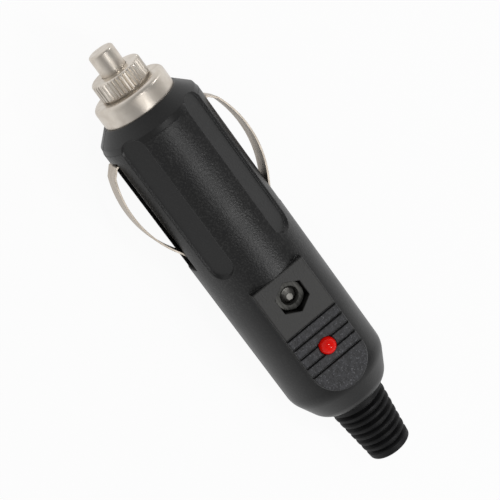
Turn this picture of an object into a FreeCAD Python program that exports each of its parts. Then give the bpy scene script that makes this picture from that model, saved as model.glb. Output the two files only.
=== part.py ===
"""Cigarette lighter plug with a screwed two-part handle, a fuse behind a sprung pin and a lamp.

The plug lies on its rear grip pad. +X runs to the tip, +Z is up, out of the front grip pad.
Lengths are millimetres. Each body has its own origin on the plug's axis, at the handle's nose
face, unless its function places it elsewhere. Distances called "place" run from that face
towards the tail.
"""
import FreeCAD, Part
import math
import os
import re
import Sketcher

Vector = FreeCAD.Vector
doc = FreeCAD.newDocument("LighterPlug")
sheet = doc.addObject("Spreadsheet::Sheet", "Sizes")

DRIVING_SIZES = {
    # Centre contact and its screw cap
    "pin_radius": 2.5,
    "pin_out": 4.3,
    "pin_edge": 0.5,
    "pin_flange_radius": 3.3,
    "pin_flange_thick": 1.2,
    "pin_clear": 0.08,
    "pin_play": 0.1,
    "cap_radius": 5.0,
    "cap_height": 3.8,
    "cap_gap": 0.35,
    "cap_top_thick": 1.0,
    "cap_edge": 0.6,
    "tooth_count": 40,
    "tooth_depth": 0.28,
    "tooth_gap": 0.5,
    # Turned collar at the nose
    "collar_radius": 7.25,
    "collar_height": 3.9,
    "collar_edge": 1.0,
    "spigot_radius": 4.3,
    "spigot_height": 2.0,
    "thread_clear": 0.1,
    "neck_radius": 5.2,
    "neck_clear": 0.1,
    "keeper_clear": 0.3,
    "keeper_thick": 1.2,
    # Handle shells
    "barrel_radius": 10.3,
    "wall": 1.6,
    "nose_lip": 0.4,
    "band_width": 1.1,
    "band_taper": 0.2,
    "band_step": 0.06,
    "nose_wall": 2.0,
    "shoulder_radius": 5.0,
    "tail_angle": 26.0,
    "tail_round": 3.8,
    "tail_end_angle": 70.0,
    "tail_wall": 1.7,
    "seam_width": 0.16,
    "seam_depth": 0.25,
    "rib_root": 0.4,
    "flute_angle": 42.0,
    "flute_width": 4.5,
    "flute_depth": 0.7,
    "flute_draft": 35.0,
    "flute_front": 2.0,
    "flute_gap": 4.9,
    "slot_front_clear": 0.55,
    "slot_back_clear": 0.8,
    "slot_clear": 0.45,
    # Grip pad
    "pad_gap": 1.3,
    "pad_length": 26.0,
    "pad_proud": 0.15,
    "pad_ceiling": 1.2,
    "pad_half_width": 5.75,
    "pad_end_rise": 5.3,
    "pad_bevel": 0.2,
    "pad_overhang": 1.4,
    "groove_inset": 11.1,
    "groove_pitch": 2.19,
    "groove_count": 5,
    "groove_width": 0.55,
    "groove_floor": 0.15,
    "groove_depth": 0.4,
    # Screw, nut and their boss
    "boss_radius": 3.9,
    "boss_gap": 0.2,
    "screw_inset": 5.0,
    "screw_radius": 1.5,
    "screw_end_sink": 1.2,
    "screw_head_radius": 2.75,
    "screw_head_height": 1.8,
    "screw_sink": 0.5,
    "screw_clear": 0.15,
    "nut_across": 5.5,
    "nut_height": 2.4,
    "nut_sink": 1.6,
    "nut_clear": 0.1,
    "nut_bore_clear": 0.05,
    "nut_mouth": 0.3,
    # Bowed side springs
    "leaf_thick": 0.35,
    "leaf_width": 5.0,
    "leaf_rise": 7.7,
    "leaf_proud": 3.05,
    "leaf_bow": 20.5,
    "leaf_hook": 1.55,
    "leaf_run": 5.7,
    "leaf_set": 4.2,
    "leaf_anchor_gap": 1.15,
    "leaf_anchor_lap": 2.4,
    "leaf_tip_gap": 2.2,
    "leaf_hook_proud": 0.1,
    "leaf_tip_sink": 0.1,
    "leaf_seat_clear": 0.1,
    # Fuse, coil spring and terminal
    "fuse_radius": 3.15,
    "fuse_length": 30.0,
    "fuse_clear": 0.3,
    "fuse_end_length": 6.0,
    "fuse_end_wall": 0.3,
    "fuse_end_clear": 0.03,
    "fuse_glass_wall": 0.5,
    "fuse_wire_radius": 0.15,
    "coil_radius": 2.6,
    "coil_wire_radius": 0.35,
    "coil_length": 9.5,
    "coil_turns": 6,
    "coil_clear": 0.05,
    "terminal_thick": 0.8,
    "terminal_radius": 3.5,
    "terminal_stud_radius": 1.9,
    "terminal_stud_height": 1.2,
    "terminal_tab": 1.6,
    "bulkhead_thick": 1.2,
    "guide_thick": 1.2,
    "guide_half_width": 4.6,
    "guide_place": 11.0,
    "guide_pitch": 9.0,
    # Leads, board, lamp and resistor
    "lead_radius": 0.45,
    "lead_clear": 0.1,
    "lead_bend_gap": 6.5,
    "lead_bend_radius": 4.0,
    "lead_on_board": 3.0,
    "earth_lead_lap": 1.5,
    "board_thick": 1.0,
    "board_inset": 10.6,
    "board_length": 13.0,
    "board_side_gap": 1.7,
    "board_corner": 0.8,
    "board_clear": 0.1,
    "rail_lap": 0.8,
    "rail_inset": 0.6,
    "lamp_inset": 16.6,
    "lamp_radius": 1.65,
    "lamp_out": 1.5,
    "lamp_clear": 0.1,
    "lamp_flange_radius": 1.95,
    "lamp_flange_thick": 0.8,
    "lamp_lead_radius": 0.25,
    "lamp_lead_offset": 0.9,
    "resistor_radius": 0.9,
    "resistor_length": 4.6,
    "resistor_span": 7.6,
    "resistor_lead_radius": 0.25,
    "resistor_offset": -3.6,
    "resistor_edge": 0.35,
    # Ribbed boot at the tail
    "boot_length": 13.3,
    "boot_base_radius": 5.77,
    "boot_lip": 0.3,
    "boot_taper": 1.5,
    "boot_end_edge": 0.8,
    "boot_bore": 2.6,
    "boot_neck_step": 1.75,
    "boot_flange_lap": 1.1,
    "boot_flange_thick": 1.6,
    "boot_ring_first": 1.6,
    "boot_ring_last": 1.98,
    "boot_ring_gap": 0.8,
    "boot_ring_slope": 0.25,
    "boot_ring_depth": 0.6,
}
BOOT_RINGS = 7

# Places and sizes worked out from the driving ones; x runs to the tip from the nose face
DERIVED_SIZES = {
    "cap_face": "collar_height + cap_height",
    "cap_foot": "collar_height + cap_gap",
    "cap_under": "cap_face - cap_top_thick",
    "cap_bore": "spigot_radius + thread_clear",
    "tip_out": "cap_face + pin_out",
    "nose_x": "(body_length + boot_length - tip_out) / 2",
    "pin_face": "cap_under - pin_play",
    "pin_back": "pin_face - pin_flange_thick",
    "fuse_back": "pin_back - fuse_length",
    "fuse_bore": "fuse_radius + fuse_clear",
    "fuse_glass_radius": "fuse_radius - fuse_end_wall - fuse_end_clear",
    "coil_back": "fuse_back - coil_length",
    "terminal_back": "coil_back - terminal_thick",
    "bulkhead_back": "terminal_back - bulkhead_thick",
    "band_radius": "barrel_radius - band_step",
    "nose_radius": "collar_radius + nose_lip",
    "nose_cone_out": "band_radius - band_taper",
    "nose_cone": "nose_cone_out - nose_radius",
    "nose_band": "nose_cone + band_width",
    "cavity_radius": "barrel_radius - wall",
    "cavity_nose": "cavity_radius - (nose_band - nose_wall)",
    "keeper_radius": "cavity_nose - keeper_clear",
    "rib_radius": "cavity_radius + rib_root",
    "pad_front": "pad_gap - bulkhead_back",
    "pad_back": "pad_front + pad_length",
    "pad_height": "barrel_radius + pad_proud",
    "pad_root": "cavity_radius - pad_ceiling",
    "pad_end_radius": "(pad_half_width ^ 2 + pad_end_rise ^ 2) / (2 * pad_end_rise)",
    "groove_place": "pad_front + groove_inset",
    "screw_place": "pad_front + screw_inset",
    "lamp_place": "pad_front + lamp_inset",
    "flute_back": "pad_front - flute_gap",
    "tail_start": "pad_back - pad_overhang",
    "shoulder_end": "tail_start + shoulder_radius * sin(tail_angle)",
    "shoulder_out": "barrel_radius - shoulder_radius * (1 - cos(tail_angle))",
    "tail_face_radius": "boot_base_radius + boot_lip",
    "tail_radius": "tail_face_radius + tail_round * (cos(tail_angle) - cos(tail_end_angle))",
    "tail_end": "shoulder_end + (shoulder_out - tail_radius) / tan(tail_angle)",
    "body_length": "tail_end + tail_round * (sin(tail_end_angle) - sin(tail_angle))",
    "inner_cone_out": "shoulder_out - wall / cos(tail_angle)",
    "cavity_back": "shoulder_end - (cavity_radius - inner_cone_out) / tan(tail_angle)",
    "tail_inner": "body_length - tail_wall",
    "tail_inner_radius": "inner_cone_out - (tail_inner - shoulder_end) * tan(tail_angle)",
    "boot_end_radius": "boot_base_radius - boot_taper",
    "boot_neck_radius": "boot_base_radius - boot_neck_step",
    "boot_hole": "boot_neck_radius + neck_clear",
    "boot_flange_radius": "boot_hole + boot_flange_lap",
    "boot_ring_room": "boot_length - boot_ring_first - boot_ring_last",
    "boot_ring_pitch": f"boot_ring_room / {BOOT_RINGS - 1}",
    "leaf_tip": "nose_band + leaf_tip_gap",
    "leaf_front": "leaf_tip + leaf_hook",
    "leaf_apex": "leaf_front + leaf_rise",
    "leaf_bend": "-terminal_back - leaf_set",
    "leaf_back": "leaf_bend - leaf_run",
    "leaf_anchor_end": "leaf_anchor_lap - bulkhead_back",
    "leaf_apex_out": "barrel_radius + leaf_proud",
    "leaf_hook_out": "barrel_radius + leaf_hook_proud",
    "leaf_tip_out": "cavity_radius - leaf_tip_sink",
    "leaf_anchor_out": "cavity_radius - leaf_anchor_gap",
    "leaf_centre_out": "leaf_apex_out - leaf_bow",
    "leaf_front_out": "leaf_centre_out + sqrt(leaf_bow ^ 2 - leaf_rise ^ 2)",
    "leaf_back_out": "leaf_centre_out + sqrt(leaf_bow ^ 2 - (leaf_back - leaf_apex) ^ 2)",
    "leaf_inner": "1 - leaf_thick / leaf_bow",
    "leaf_slope": "atan((leaf_back_out - leaf_anchor_out) / leaf_run)",
    "leaf_turn": "atan(leaf_hook / (leaf_front_out - leaf_hook_out))",
    "leaf_anchor_in": "leaf_anchor_out - leaf_thick",
    "seat_in": "leaf_anchor_in - leaf_seat_clear",
    "seat_out": "leaf_anchor_out + leaf_seat_clear",
    "slot_front": "leaf_tip - slot_front_clear",
    "slot_back": "leaf_bend - slot_back_clear",
    "slot_half_width": "leaf_width / 2 + slot_clear",
    "board_front": "pad_front + board_inset",
    "board_back": "board_front + board_length",
    "board_top": "board_thick / 2",
    "board_half_width": "cavity_radius - board_side_gap",
    "rail_in": "board_half_width - rail_lap",
    "rail_front": "-board_front - lead_on_board - rail_inset",
    "lead_offset": "boss_radius + boss_gap + lead_radius",
    "lead_bend_place": "board_front - lead_bend_gap",
    "lead_rise": "board_top + lead_radius",
    "lead_turn": "acos(1 - lead_rise / (2 * lead_bend_radius))",
    "earth_offset": "leaf_anchor_in - leaf_seat_clear - lead_radius",
    "resistor_height": "board_top + resistor_radius",
    "nut_top": "pad_height - nut_sink",
    "nut_floor": "nut_top - nut_height",
    "screw_seat": "pad_height - screw_sink - screw_head_height",
}


def fill_sheet():
    """Write each driving size in the sheet as a plain number with its name as alias."""
    for row, (name, value) in enumerate(DRIVING_SIZES.items(), start=1):
        sheet.set(f"A{row}", name)
        sheet.set(f"B{row}", str(value))
        sheet.setAlias(f"B{row}", name)
    doc.recompute()


def formula(text):
    """Turn a formula of size names into an expression on the sheet."""
    def expand(match):
        word = match[0]
        if word in DERIVED_SIZES:
            return f"({formula(DERIVED_SIZES[word])})"
        return f"Sizes.{word}" if word in DRIVING_SIZES else word
    return re.sub(r"[a-z][a-z_]+", expand, str(text))


def value_of(text):
    """Give the present value of a formula of size names."""
    result = sheet.evalExpression(formula(text))
    return float(getattr(result, "Value", result))


def place(body, x="nose_x", y="0", z="pad_height", turn=None):
    """Set a sub-part's place in the plug, after an optional half turn about an axis."""
    rotation = FreeCAD.Rotation(turn, 180) if turn else FreeCAD.Rotation()
    body.Placement = FreeCAD.Placement(Vector(0, 0, 0), rotation)
    for axis, text in zip("xyz", (x, y, z)):
        body.setExpression(f"Placement.Base.{axis}", formula(text))
    return body


def new_body(label):
    """Add an empty body with its label."""
    body = doc.addObject("PartDesign::Body", label)
    body.Label = label
    return body


def new_sketch(body, name, plane, lift="0"):
    """Add a sketch on one of the body's own origin planes, lifted along that plane's normal."""
    sketch = body.newObject("Sketcher::SketchObject", name)
    origin = next(item for item in body.Origin.OriginFeatures if item.Role == plane)
    sketch.AttachmentSupport = (origin, [""])
    sketch.MapMode = "FlatFace"
    sketch.setExpression("AttachmentOffset.Base.z", formula(lift))
    return sketch


def pin_point(sketch, geometry, point, x, y):
    """Fix a point of a sketch at formulas for its two coordinates."""
    for kind, text, axis in (("DistanceX", x, -2), ("DistanceY", y, -1)):
        if str(text) == "0":
            sketch.addConstraint(Sketcher.Constraint("PointOnObject", geometry, point, axis))
            continue
        rule = sketch.addConstraint(
            Sketcher.Constraint(kind, -1, 1, geometry, point, value_of(text)))
        sketch.setExpression(f"Constraints[{rule}]", formula(text))


def arc_centre(start, end, rule):
    """Give the centre of an arc from its chord and its rule, (kind, formula, side)."""
    kind, text, side = rule
    middle = (start + end) * 0.5
    chord = end - start
    across = Vector(-chord.y, chord.x, 0).normalize()
    if kind == "radius":
        rise = math.sqrt(max(value_of(text) ** 2 - (chord.Length / 2) ** 2, 0))
        return middle + across * rise * side
    if kind == "centre_x":
        return Vector(value_of(text), middle.y, 0)
    return Vector(middle.x, value_of(text), 0)


def outline(sketch, vertices, arcs=None, closed=True):
    """Draw a chain of lines through vertices given as formulas, with some edges as arcs.

    arcs maps an edge's number to (kind, formula, side): kind is "radius", "centre_x" or
    "centre_y", and side is 1 where the arc's centre lies left of the way from its start.
    """
    arcs = arcs or {}
    points = [Vector(value_of(x), value_of(y), 0) for x, y in vertices]
    count = len(points) if closed else len(points) - 1
    ends = []
    for number in range(count):
        start, end = points[number], points[(number + 1) % len(points)]
        if number not in arcs:
            edge = sketch.addGeometry(Part.LineSegment(start, end))
            ends.append((edge, 1, 2))
            continue
        centre = arc_centre(start, end, arcs[number])
        circle = Part.Circle(centre, Vector(0, 0, 1), (start - centre).Length)
        from_start = math.atan2(start.y - centre.y, start.x - centre.x)
        from_end = math.atan2(end.y - centre.y, end.x - centre.x)
        leftwards = arcs[number][2] > 0
        angles = (from_start, from_end) if leftwards else (from_end, from_start)
        edge = sketch.addGeometry(Part.ArcOfCircle(circle, *angles))
        ends.append((edge, 1, 2) if leftwards else (edge, 2, 1))
    for number, (edge, first, last) in enumerate(ends):
        pin_point(sketch, edge, first, *vertices[number])
        if closed or number + 1 < count:
            following = ends[(number + 1) % count]
            sketch.addConstraint(
                Sketcher.Constraint("Coincident", edge, last, following[0], following[1]))
        else:
            pin_point(sketch, edge, last, *vertices[number + 1])
    for number, (kind, text, _) in arcs.items():
        edge = ends[number][0]
        if kind == "radius":
            rule = Sketcher.Constraint("Radius", edge, value_of(text))
        elif kind == "centre_x":
            rule = Sketcher.Constraint("DistanceX", -1, 1, edge, 3, value_of(text))
        elif str(text) == "0":
            sketch.addConstraint(Sketcher.Constraint("PointOnObject", edge, 3, -1))
            continue
        else:
            rule = Sketcher.Constraint("DistanceY", -1, 1, edge, 3, value_of(text))
        number_of_rule = sketch.addConstraint(rule)
        sketch.setExpression(f"Constraints[{number_of_rule}]", formula(text))


def circle(sketch, x, y, radius):
    """Draw a circle from formulas for its centre and radius."""
    shape = Part.Circle(Vector(value_of(x), value_of(y), 0), Vector(0, 0, 1), value_of(radius))
    edge = sketch.addGeometry(shape)
    pin_point(sketch, edge, 3, x, y)
    rule = sketch.addConstraint(Sketcher.Constraint("Radius", edge, value_of(radius)))
    sketch.setExpression(f"Constraints[{rule}]", formula(radius))


def box_outline(sketch, x_from, x_to, y_from, y_to):
    """Draw a rectangle between formulas for its sides."""
    outline(sketch, [(x_from, y_from), (x_to, y_from), (x_to, y_to), (x_from, y_to)])


def revolve(body, sketch, axis="H_Axis", angle=360):
    """Turn a section about a sketch axis, half to each side of its plane."""
    feature = body.newObject("PartDesign::Revolution", f"{sketch.Name}_turned")
    feature.Profile = sketch
    feature.ReferenceAxis = (sketch, [axis])
    feature.Angle = angle
    feature.Midplane = angle < 360
    return feature


def extrude(body, sketch, length, kind="Pad", backwards=False, middle=False):
    """Pad or pocket a sketch by a formula for its length."""
    feature = body.newObject(f"PartDesign::{kind}", f"{sketch.Name}_{kind.lower()}")
    feature.Profile = sketch
    feature.setExpression("Length", formula(length))
    feature.Reversed = backwards
    if middle:
        feature.SideType = "Symmetric"
    return feature


def turned_body(label, vertices, arcs=None, axis="H_Axis"):
    """Make a whole turned piece from one closed half section."""
    body = new_body(label)
    section = new_sketch(body, f"{label}_section", "XZ_Plane")
    outline(section, vertices, arcs)
    revolve(body, section, axis)
    return body


def make_contact_pin():
    """Make the rounded pin with the flange that keeps it behind the cap."""
    shoulder = "tip_out - pin_edge"
    land = "pin_radius - pin_edge"
    body = turned_body("contact_pin", [
        ("pin_back", "0"), ("tip_out", "0"), ("tip_out", land), (shoulder, "pin_radius"),
        ("pin_face", "pin_radius"), ("pin_face", "pin_flange_radius"),
        ("pin_back", "pin_flange_radius"),
    ], {2: ("radius", "pin_edge", 1)})
    return place(body)


def make_fuse_cap():
    """Make the screw cap with its ring of grip teeth."""
    hole = "pin_radius + pin_clear"
    shoulder = "cap_face - cap_edge"
    body = turned_body("fuse_cap", [
        ("cap_foot", "cap_bore"), ("cap_under", "cap_bore"), ("cap_under", hole),
        ("cap_face", hole), ("cap_face", "cap_radius - cap_edge"), (shoulder, "cap_radius"),
        ("cap_foot", "cap_radius"),
    ], {4: ("radius", "cap_edge", 1)})
    notch = new_sketch(body, "tooth_gap_section", "YZ_Plane", "cap_face")
    outside = "cap_radius + tooth_depth"
    outline(notch, [
        ("0", "cap_radius - tooth_depth"), ("tooth_gap", outside), ("-tooth_gap", outside)])
    cut = extrude(body, notch, "cap_height", "Pocket")
    teeth = body.newObject("PartDesign::PolarPattern", "cap_teeth")
    teeth.Originals = [cut]
    teeth.Axis = (notch, ["N_Axis"])
    teeth.setExpression("Occurrences", formula("tooth_count"))
    body.Tip = teeth
    return place(body)


def make_nose_collar():
    """Make the turned collar: threaded spigot, polished flange, neck and keeper ring."""
    shoulder = "collar_height - collar_edge"
    spigot_end = "collar_height + spigot_height"
    neck_end = "-nose_wall"
    keeper_end = "-nose_wall - keeper_thick"
    body = turned_body("nose_collar", [
        (keeper_end, "fuse_bore"), (spigot_end, "fuse_bore"), (spigot_end, "spigot_radius"),
        ("collar_height", "spigot_radius"), ("collar_height", "collar_radius - collar_edge"),
        (shoulder, "collar_radius"), ("0", "collar_radius"), ("0", "neck_radius"),
        (neck_end, "neck_radius"), (neck_end, "keeper_radius"), (keeper_end, "keeper_radius"),
    ], {4: ("radius", "collar_edge", 1)})
    return place(body)


def draw_shell_wall(body):
    """Turn the half wall of a handle shell, from the nose hole to the boot's hole."""
    section = new_sketch(body, f"{body.Label}_wall", "XZ_Plane")
    nose_hole = "neck_radius + neck_clear"
    outline(section, [
        ("0", nose_hole), ("0", "nose_radius"), ("-nose_cone", "nose_cone_out"),
        ("-nose_band", "band_radius"), ("-nose_band", "barrel_radius"),
        ("-tail_start", "barrel_radius"), ("-shoulder_end", "shoulder_out"),
        ("-tail_end", "tail_radius"), ("-body_length", "tail_face_radius"),
        ("-body_length", "boot_hole"), ("-tail_inner", "boot_hole"),
        ("-tail_inner", "tail_inner_radius"), ("-cavity_back", "cavity_radius"),
        ("-nose_band", "cavity_radius"), ("-nose_wall", "cavity_nose"),
        ("-nose_wall", nose_hole),
    ], {5: ("radius", "shoulder_radius", 1), 7: ("radius", "tail_round", 1)})
    revolve(body, section, angle=180)


def cut_seam(body):
    """Step the outer edge at the parting plane, so that a fine seam shows along each side."""
    outside = "barrel_radius + seam_depth"
    for side, name in (("", "left_seam"), ("-", "right_seam")):
        seam = new_sketch(body, name, "XY_Plane")
        outline(seam, [(x, f"{side}({y})") for x, y in (
            ("0", "nose_radius - seam_depth"), ("-nose_cone", "nose_cone_out - seam_depth"),
            ("-nose_band", "barrel_radius - seam_depth"),
            ("-tail_start", "barrel_radius - seam_depth"),
            ("-shoulder_end", "shoulder_out - seam_depth"),
            ("-tail_end", "tail_radius - seam_depth"),
            ("-tail_end", outside), ("0", outside))])
        extrude(body, seam, "seam_width / 2", "Pocket", backwards=True)


def cut_spring_slots(body):
    """Cut the half slots of the two side springs through the wall at the parting plane."""
    window = new_sketch(body, "slot_window", "XZ_Plane")
    box_outline(window, "-slot_back", "-slot_front", "-slot_half_width", "slot_half_width")
    extrude(body, window, "2 * (barrel_radius + slot_clear)", "Pocket", middle=True)


def cross_rib(body, name, front, thickness, outlines):
    """Pad a rib across the shell, from its front face towards the tail."""
    section = new_sketch(body, name, "YZ_Plane", front)
    for vertices, arcs in outlines:
        outline(section, vertices, arcs)
    extrude(body, section, thickness, backwards=True)


def wall_height(offset):
    """Give the formula for a rib's root height in the wall at an offset from the middle."""
    return f"sqrt(rib_radius ^ 2 - ({offset}) ^ 2)"


def add_inner_ribs(body):
    """Add fuse guides, the terminal's bulkhead, the spring seats and the board's rails."""
    roof = ("radius", "rib_radius", 1)
    half = "guide_half_width"
    for number in range(2):
        cross_rib(body, f"fuse_guide_{number}", f"-guide_place - {number} * guide_pitch",
                  "guide_thick", [([
                      (f"-{half}", "0"), ("-fuse_bore", "0"), ("fuse_bore", "0"), (half, "0"),
                      (half, wall_height(half)), (f"-{half}", wall_height(half)),
                  ], {1: ("centre_y", "0", -1), 4: roof})])
    bulkhead = ([
        ("-seat_in", "0"), ("seat_in", "0"), ("seat_in", wall_height("seat_in")),
        ("-seat_in", wall_height("seat_in")),
    ], {2: roof})
    left_seat = ([
        ("seat_out", "0"), ("rib_radius", "0"), ("seat_out", wall_height("seat_out")),
    ], {1: roof})
    right_seat = ([
        ("-seat_out", "0"), ("-seat_out", wall_height("seat_out")), ("-rib_radius", "0"),
    ], {1: roof})
    cross_rib(body, "bulkhead", "terminal_back", "bulkhead_thick",
              [bulkhead, left_seat, right_seat])
    under = "board_top + board_clear"
    foot = f"sqrt(rib_radius ^ 2 - ({under}) ^ 2)"
    left_rail = ([("rail_in", under), (foot, under), ("rail_in", wall_height("rail_in"))],
                 {1: roof})
    right_rail = ([("-rail_in", under), ("-rail_in", wall_height("rail_in")), (f"-{foot}", under)],
                  {1: roof})
    cross_rib(body, "board_rails", "rail_front", "board_back - rail_inset + rail_front",
              [left_rail, right_rail])
    passage = new_sketch(body, "lead_passage", "YZ_Plane", "terminal_back")
    for offset in ("lead_offset", "-lead_offset"):
        circle(passage, offset, "0", "lead_radius + lead_clear")
    extrude(body, passage, "bulkhead_thick", "Pocket")


def draw_pad(body, name, lift):
    """Draw the grip pad's outline with its round end at a height."""
    pad = new_sketch(body, name, "XY_Plane", lift)
    round_start = "pad_end_rise - pad_back"
    outline(pad, [
        ("-pad_front", "-pad_half_width"), ("-pad_front", "pad_half_width"),
        (round_start, "pad_half_width"), (round_start, "-pad_half_width"),
    ], {2: ("radius", "pad_end_radius", 1)})
    return pad


def add_grip_pad(body):
    """Raise the flat grip pad with its bevelled edge, and the screw boss under it."""
    rim = "pad_height - pad_bevel"
    extrude(body, draw_pad(body, "grip_pad", "pad_root"), f"{rim} - pad_root")
    bevel = extrude(body, draw_pad(body, "pad_bevel_edge", rim), "pad_bevel")
    bevel.TaperAngle = -45
    boss = new_sketch(body, "screw_boss", "XY_Plane")
    circle(boss, "-screw_place", "0", "boss_radius")
    extrude(body, boss, "cavity_radius")


def cut_grip_grooves(body):
    """Cut the row of narrow tapered grooves across the grip pad."""
    groove = new_sketch(body, "grip_groove", "XZ_Plane")
    half, floor = "groove_width / 2", "groove_floor / 2"
    bottom, above = "pad_height - groove_depth", "pad_height + groove_depth"
    outline(groove, [
        (f"-groove_place - {half}", above), (f"-groove_place - {half}", "pad_height"),
        (f"-groove_place - {floor}", bottom), (f"-groove_place + {floor}", bottom),
        (f"-groove_place + {half}", "pad_height"), (f"-groove_place + {half}", above)])
    cut = extrude(body, groove, "2 * (pad_half_width + groove_width)", "Pocket", middle=True)
    row = body.newObject("PartDesign::LinearPattern", "grip_grooves")
    row.Originals = [cut]
    row.Direction = (groove, ["H_Axis"])
    row.Reversed = True
    row.setExpression("Occurrences", formula("groove_count"))
    row.setExpression("Length", formula("groove_pitch * (groove_count - 1)"))
    body.Tip = row


def cut_flutes(body):
    """Sink the two long flutes with round ends beside the middle of the shell."""
    half = "flute_width / 2"
    floor = "(barrel_radius - flute_depth)"
    front = f"-flute_front - {half}"
    back = f"-flute_back + {half}"
    for side, name in ((1, "left_flute"), (-1, "right_flute")):
        flute = new_sketch(body, name, "XY_Plane", f"{floor} * cos(flute_angle)")
        flute.AttachmentOffset = FreeCAD.Placement(
            flute.AttachmentOffset.Base, FreeCAD.Rotation(Vector(side, 0, 0), 1))
        flute.setExpression("AttachmentOffset.Rotation.Angle", formula("flute_angle"))
        flute.setExpression("AttachmentOffset.Base.y",
                            formula(f"{-side} * {floor} * sin(flute_angle)"))
        outline(flute, [(back, f"-{half}"), (front, f"-{half}"), (front, half), (back, half)],
                {1: ("centre_x", front, 1), 3: ("centre_x", back, 1)})
        cut = extrude(body, flute, "2 * flute_depth", "Pocket", backwards=True)
        cut.setExpression("TaperAngle", formula("flute_draft"))


def bore(body, name, place_x, radius, top, depth):
    """Bore a round hole down into the grip pad from a height."""
    mouth = new_sketch(body, name, "XY_Plane", top)
    circle(mouth, place_x, "0", radius)
    extrude(body, mouth, depth, "Pocket")


def make_shell(label):
    """Make what the two handle shells share."""
    body = new_body(label)
    draw_shell_wall(body)
    cut_seam(body)
    cut_spring_slots(body)
    add_grip_pad(body)
    add_inner_ribs(body)
    cut_flutes(body)
    cut_grip_grooves(body)
    bore(body, "screw_hole", "-screw_place", "screw_radius + screw_clear", "pad_height",
         "pad_height")
    return body


def hexagon(sketch, x, across):
    """Draw a hexagon with two corners along the plug, from its width across flats."""
    corner = f"({across}) / sqrt(3)"
    flat = f"({across}) / 2"
    outline(sketch, [
        (f"{x} + {corner}", "0"), (f"{x} + {corner} / 2", flat), (f"{x} - {corner} / 2", flat),
        (f"{x} - {corner}", "0"), (f"{x} - {corner} / 2", f"-{flat}"),
        (f"{x} + {corner} / 2", f"-{flat}"),
    ])


def make_front_shell():
    """Make the front shell, with the nut's pocket and the lamp's hole."""
    body = make_shell("front_shell")
    pocket = new_sketch(body, "nut_pocket", "XY_Plane", "pad_height")
    hexagon(pocket, "-screw_place", "nut_across + 2 * nut_clear")
    extrude(body, pocket, "nut_sink + nut_height", "Pocket")
    bore(body, "lamp_hole", "-lamp_place", "lamp_radius + lamp_clear", "pad_height",
         "pad_height - pad_root")
    return place(body)


def make_rear_shell():
    """Make the rear shell, with the sunk seat of the screw's head."""
    body = make_shell("rear_shell")
    bore(body, "head_seat", "-screw_place", "screw_head_radius + 2 * screw_clear", "pad_height",
         "screw_sink + screw_head_height")
    return place(body, turn=Vector(1, 0, 0))


def make_shell_screw():
    """Make the screw that clamps the shells, with a cross slot in its head."""
    tip = "nut_top - screw_end_sink"
    body = turned_body("shell_screw", [
        ("0", "-screw_seat - screw_head_height"),
        ("screw_head_radius", "-screw_seat - screw_head_height"),
        ("screw_head_radius", "-screw_seat"), ("screw_radius", "-screw_seat"),
        ("screw_radius", tip), ("0", tip),
    ], axis="V_Axis")
    slot = new_sketch(body, "drive_slot", "XY_Plane", "-screw_seat - screw_head_height")
    long_side = "screw_head_radius * 0.62"
    narrow_side = "screw_radius * 0.3"
    outline(slot, [
        (long_side, f"-{narrow_side}"), (long_side, narrow_side), (narrow_side, narrow_side),
        (narrow_side, long_side), (f"-{narrow_side}", long_side),
        (f"-{narrow_side}", narrow_side), (f"-{long_side}", narrow_side),
        (f"-{long_side}", f"-{narrow_side}"), (f"-{narrow_side}", f"-{narrow_side}"),
        (f"-{narrow_side}", f"-{long_side}"), (narrow_side, f"-{long_side}"),
        (narrow_side, f"-{narrow_side}"),
    ])
    extrude(body, slot, "screw_head_height / 2", "Pocket", backwards=True)
    return place(body, "nose_x - screw_place")


def make_shell_nut():
    """Make the hexagon nut in the front shell's pocket."""
    body = new_body("shell_nut")
    hexagon_section = new_sketch(body, "nut_hexagon", "XY_Plane", "nut_floor")
    hexagon(hexagon_section, "0", "nut_across")
    circle(hexagon_section, "0", "0", "screw_radius + nut_bore_clear")
    extrude(body, hexagon_section, "nut_height")
    mouth = new_sketch(body, "nut_mouth", "XZ_Plane")
    outline(mouth, [("screw_radius", "nut_top"), ("screw_radius + nut_mouth", "nut_top"),
                    ("screw_radius", "nut_top - nut_mouth")])
    chamfer = body.newObject("PartDesign::Groove", "nut_chamfer")
    chamfer.Profile = mouth
    chamfer.ReferenceAxis = (mouth, ["V_Axis"])
    return place(body, "nose_x - screw_place")


def make_side_spring(label, turn):
    """Make a bowed side spring: hooked tip, bow through the slot, and anchor strip."""
    body = new_body(label)
    strip = new_sketch(body, f"{label}_edge", "XY_Plane")
    inner_front = "-leaf_apex + (leaf_apex - leaf_front) * leaf_inner"
    inner_back = "-leaf_apex - (leaf_back - leaf_apex) * leaf_inner"
    inner_front_out = "leaf_centre_out + (leaf_front_out - leaf_centre_out) * leaf_inner"
    inner_back_out = "leaf_centre_out + (leaf_back_out - leaf_centre_out) * leaf_inner"
    inner_tip = "-leaf_tip - leaf_thick"
    outline(strip, [
        ("-leaf_anchor_end", "leaf_anchor_out"), ("-leaf_bend", "leaf_anchor_out"),
        ("-leaf_back", "leaf_back_out"), ("-leaf_front", "leaf_front_out"),
        ("-leaf_tip", "leaf_hook_out"), ("-leaf_tip", "leaf_tip_out"), (inner_tip, "leaf_tip_out"),
        (inner_tip, "leaf_hook_out - leaf_thick * tan(leaf_turn / 2)"),
        (inner_front, inner_front_out), (inner_back, inner_back_out),
        ("-leaf_bend + leaf_thick * tan(leaf_slope / 2)", "leaf_anchor_in"),
        ("-leaf_anchor_end", "leaf_anchor_in"),
    ], {2: ("radius", "leaf_bow", -1), 8: ("radius", "leaf_bow - leaf_thick", 1)})
    extrude(body, strip, "leaf_width", middle=True)
    return place(body, turn=turn)


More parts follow.
